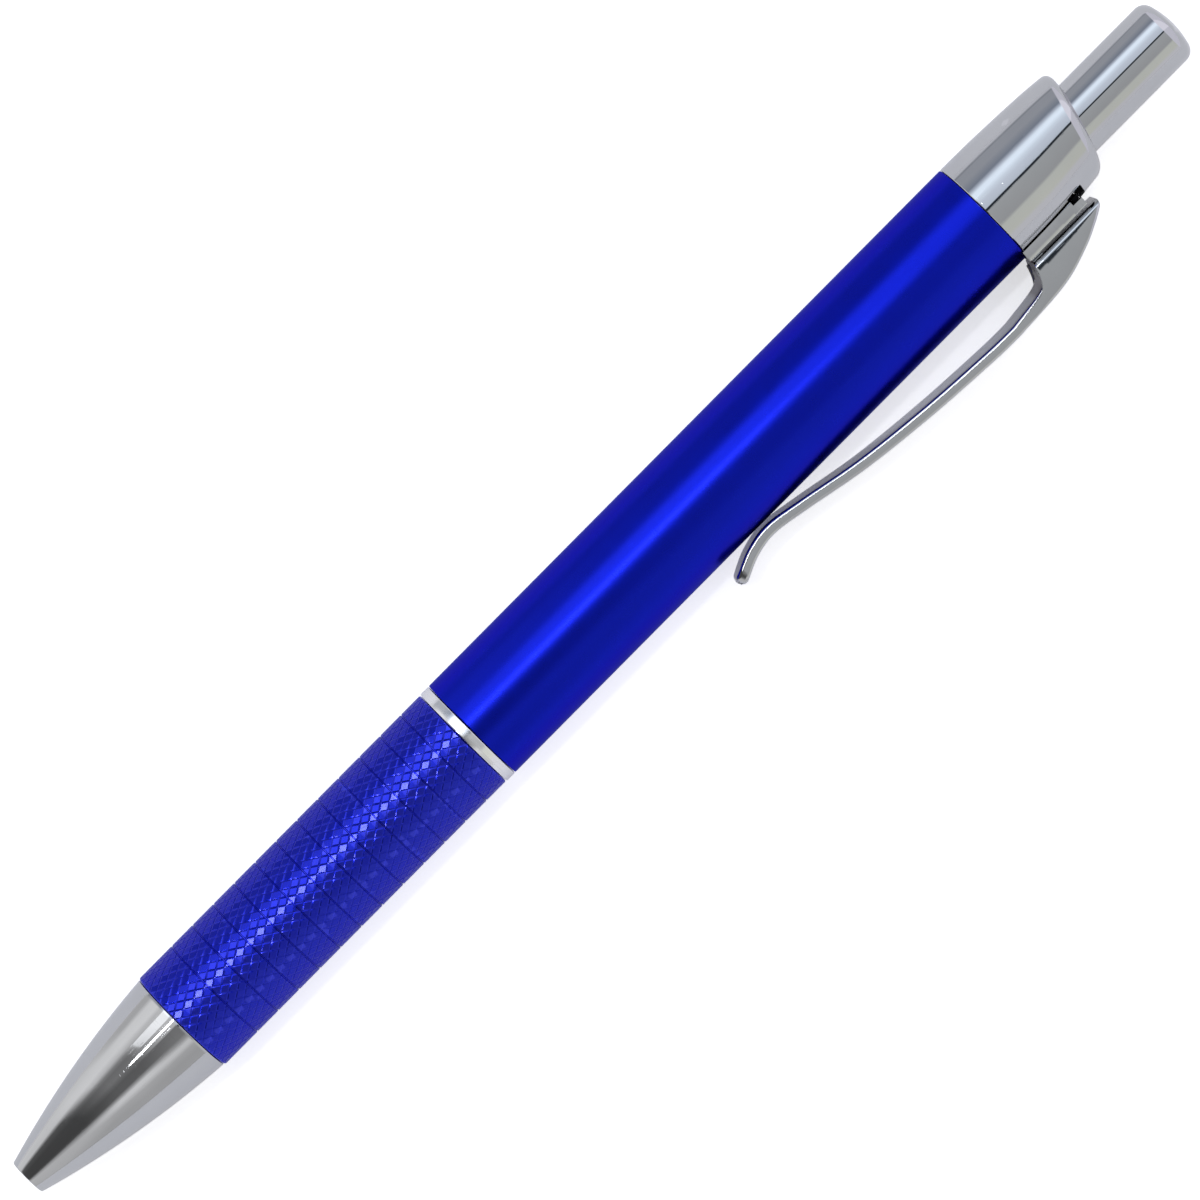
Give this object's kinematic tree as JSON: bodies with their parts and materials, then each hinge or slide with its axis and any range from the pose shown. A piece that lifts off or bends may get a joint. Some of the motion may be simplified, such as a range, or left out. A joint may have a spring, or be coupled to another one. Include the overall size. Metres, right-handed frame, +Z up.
{
  "type": "retractable ballpoint pen",
  "caption": "Click ballpoint pen with a tapered chrome nose, knurled and grooved metal grip, plain tube barrel, slanted clip collar, bent spring clip and push button.",
  "frame": {"origin": "bottom centre of the bounding box: the table that the pen lies on, halfway along the pen; the pen's axis is 5.25 mm above the table", "axes": "+X along the pen from the nose cone to the push button, +Z up from the table; the clip is on the -Y side and leans 15 degrees down until its edge meets the table"},
  "size_m": [0.1396, 0.015, 0.0105],
  "materials": {
    "chrome_plate": "bright chrome plate",
    "blue_anodised": "satin blue anodised aluminium",
    "bright_aluminium": "diamond-turned bright aluminium",
    "black_plastic": "moulded black plastic",
    "white_acetal": "moulded natural acetal",
    "grey_acetal": "moulded grey acetal",
    "brass": "turned brass",
    "refill_steel": "drawn steel tube",
    "nickel_silver": "turned nickel silver",
    "carbide": "polished tungsten carbide",
    "spring_steel": "drawn spring wire",
    "blue_ink": "thick ballpoint ink",
    "follower_grease": "clear grease"
  },
  "bodies": {
    "casing": {"nose_cone": "chrome_plate", "grip_sleeve": "blue_anodised", "grip_liner": "black_plastic", "trim_ring": "bright_aluminium", "barrel_coupling": "black_plastic", "barrel_tube": "blue_anodised", "collar_plug": "black_plastic", "clip_collar": "chrome_plate", "cam_sleeve": "white_acetal", "return_spring": "spring_steel"},
    "button": {"push_button": "chrome_plate", "plunger": "grey_acetal"},
    "refill": {"point_cone": "nickel_silver", "tip_holder": "brass", "reservoir_tube": "refill_steel", "ink_column": "blue_ink", "ink_follower": "follower_grease", "reservoir_plug": "black_plastic"},
    "rotor": {"rotor_cam": "white_acetal"},
    "ball": {"writing_ball": "carbide"},
    "clip": {"clip": "chrome_plate"}
  },
  "joints": [
    {"name": "button_press", "type": "slide", "parent": "casing", "child": "button", "axis": [-1, 0, 0], "range_m": [0, 0.006], "stiffness_N_per_m": 250, "springref_m": -0.003},
    {"name": "refill_slide", "type": "slide", "parent": "casing", "child": "refill", "axis": [-1, 0, 0], "range_m": [0, 0.006], "deforming": ["return_spring"]},
    {"name": "rotor_index", "type": "hinge", "parent": "refill", "child": "rotor", "pos_m": [0.02985, 0.0023, 0.00525], "axis": [1, 0, 0], "range_deg": [0, 45]},
    {"name": "ball_roll", "type": "hinge", "parent": "refill", "child": "ball", "pos_m": [-0.06805, 0.0023, 0.00525], "axis": [0, 1, 0], "continuous": true},
    {"name": "clip_flex", "type": "hinge", "parent": "casing", "child": "clip", "pos_m": [0.0531, -0.00213, 0.00403], "axis": [0, -0.2656, 0.9641], "range_deg": [0, 4], "stiffness_Nm_per_rad": 3, "springref_deg": -1.15}
  ],
  "couplings": [
    {"joint": "refill_slide", "follows": "button_press", "ratio": 1},
    {"joint": "rotor_index", "follows": "button_press", "rad_per_m": 130.9}
  ]
}
